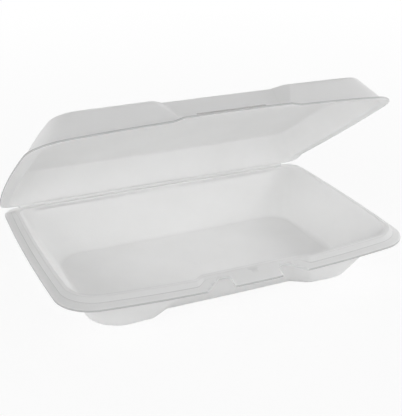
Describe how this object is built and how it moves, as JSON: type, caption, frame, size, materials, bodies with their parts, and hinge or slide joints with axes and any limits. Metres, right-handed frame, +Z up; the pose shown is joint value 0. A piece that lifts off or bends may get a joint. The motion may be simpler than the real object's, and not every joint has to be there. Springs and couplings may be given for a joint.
{
  "type": "foam clamshell container",
  "caption": "Shallow white foam food container with a sloping-walled tray, a beaded rim, and a lid that hinges along the rear edge and locks with a front tab.",
  "frame": {"origin": "middle of the tray's flat underside", "axes": "+X along the hinge, +Y from the front tab to the hinge, +Z up; the lid is stored open as in the picture"},
  "size_m": [0.2408, 0.1646, 0.1284],
  "materials": {
    "foam": "matte white foam sheet with a fine closed-cell skin"
  },
  "bodies": {
    "tray": {"base_tray": "foam"},
    "cover": {"lid": "foam"}
  },
  "joints": [
    {"name": "lid_hinge", "type": "hinge", "parent": "tray", "child": "cover", "pos_m": [0, 0.082, 0.0302], "axis": [-1, 0, 0], "range_deg": [-33.5, 146.5]}
  ]
}
